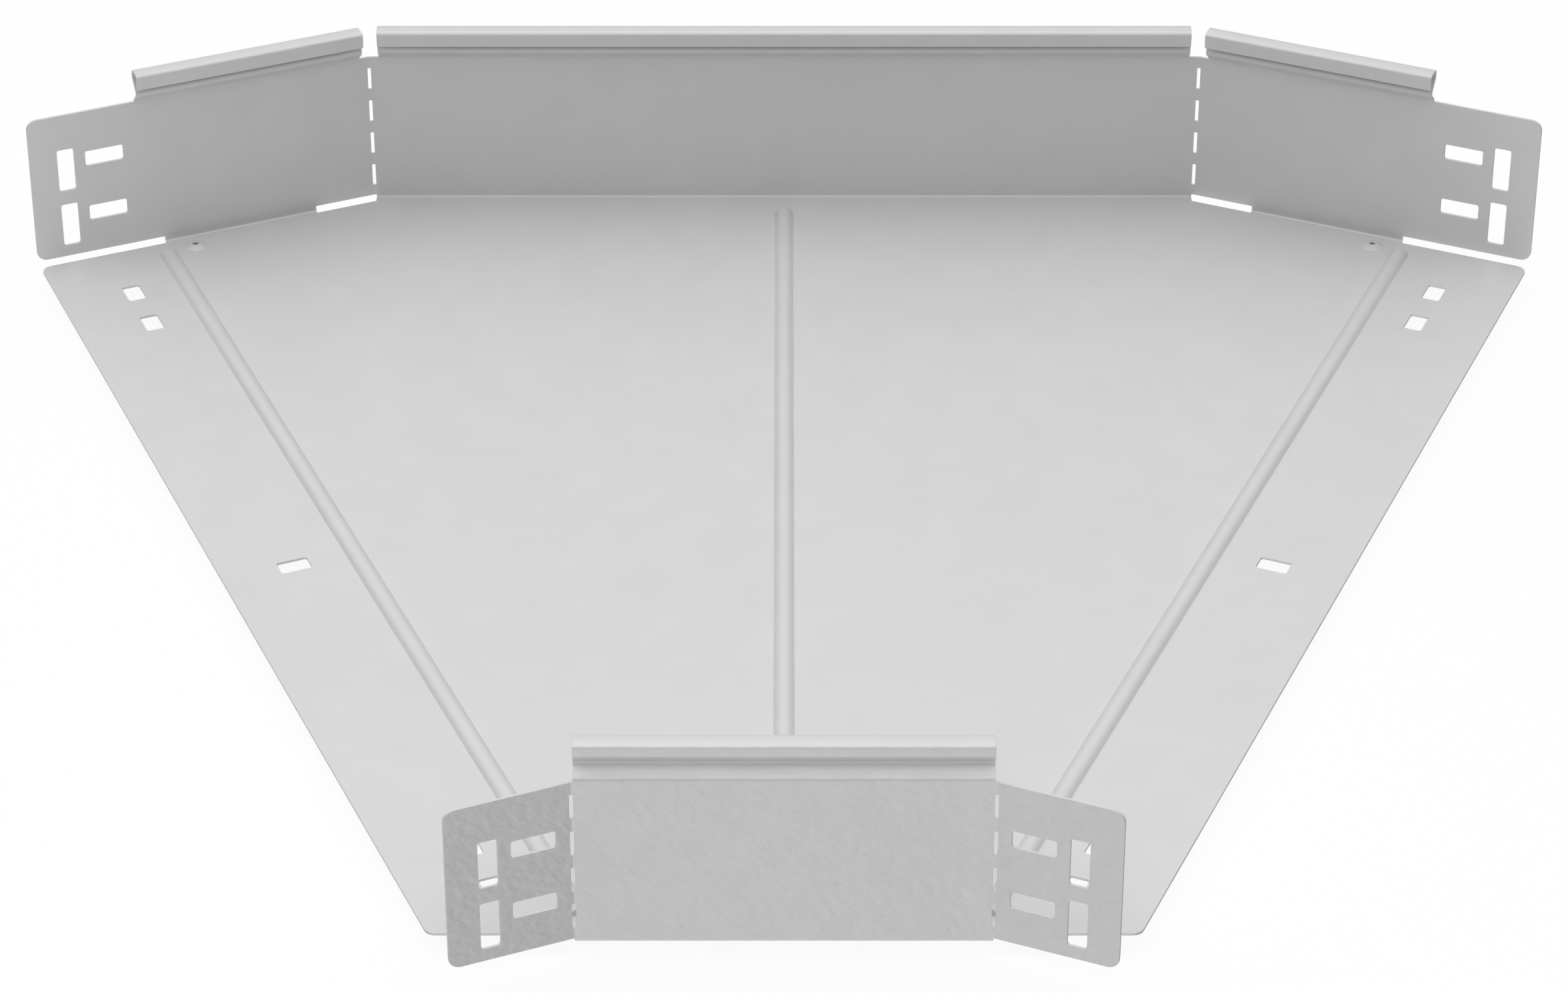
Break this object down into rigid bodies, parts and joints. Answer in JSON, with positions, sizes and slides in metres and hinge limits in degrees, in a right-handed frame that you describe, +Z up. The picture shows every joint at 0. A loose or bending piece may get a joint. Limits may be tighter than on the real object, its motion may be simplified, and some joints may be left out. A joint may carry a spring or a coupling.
{
  "type": "cable tray bend",
  "caption": "Horizontal 45 degree cable tray bend folded from one steel sheet, with rolled rims, slotted coupler walls, floor beads and riveted flanges.",
  "frame": {"origin": "centre of the overall box, on the level of the lowest point, the ends of the two blind rivets under the floor", "axes": "+X across the bend, which is symmetric about X = 0; +Y from the inner wall to the outer wall; +Z up, square to the floor"},
  "size_m": [0.6034, 0.517, 0.0869],
  "materials": {
    "galvanised_sheet": "hot-dip galvanised, matt with a faint mottle",
    "rivet_shell": "zinc plated, satin",
    "rivet_stem": "bare broken steel stem"
  },
  "bodies": {
    "root": {"tray_bend": "galvanised_sheet", "rivet_left": "rivet_shell", "rivet_right": "rivet_shell", "mandrel_left": "rivet_stem", "mandrel_right": "rivet_stem"}
  },
  "joints": []
}
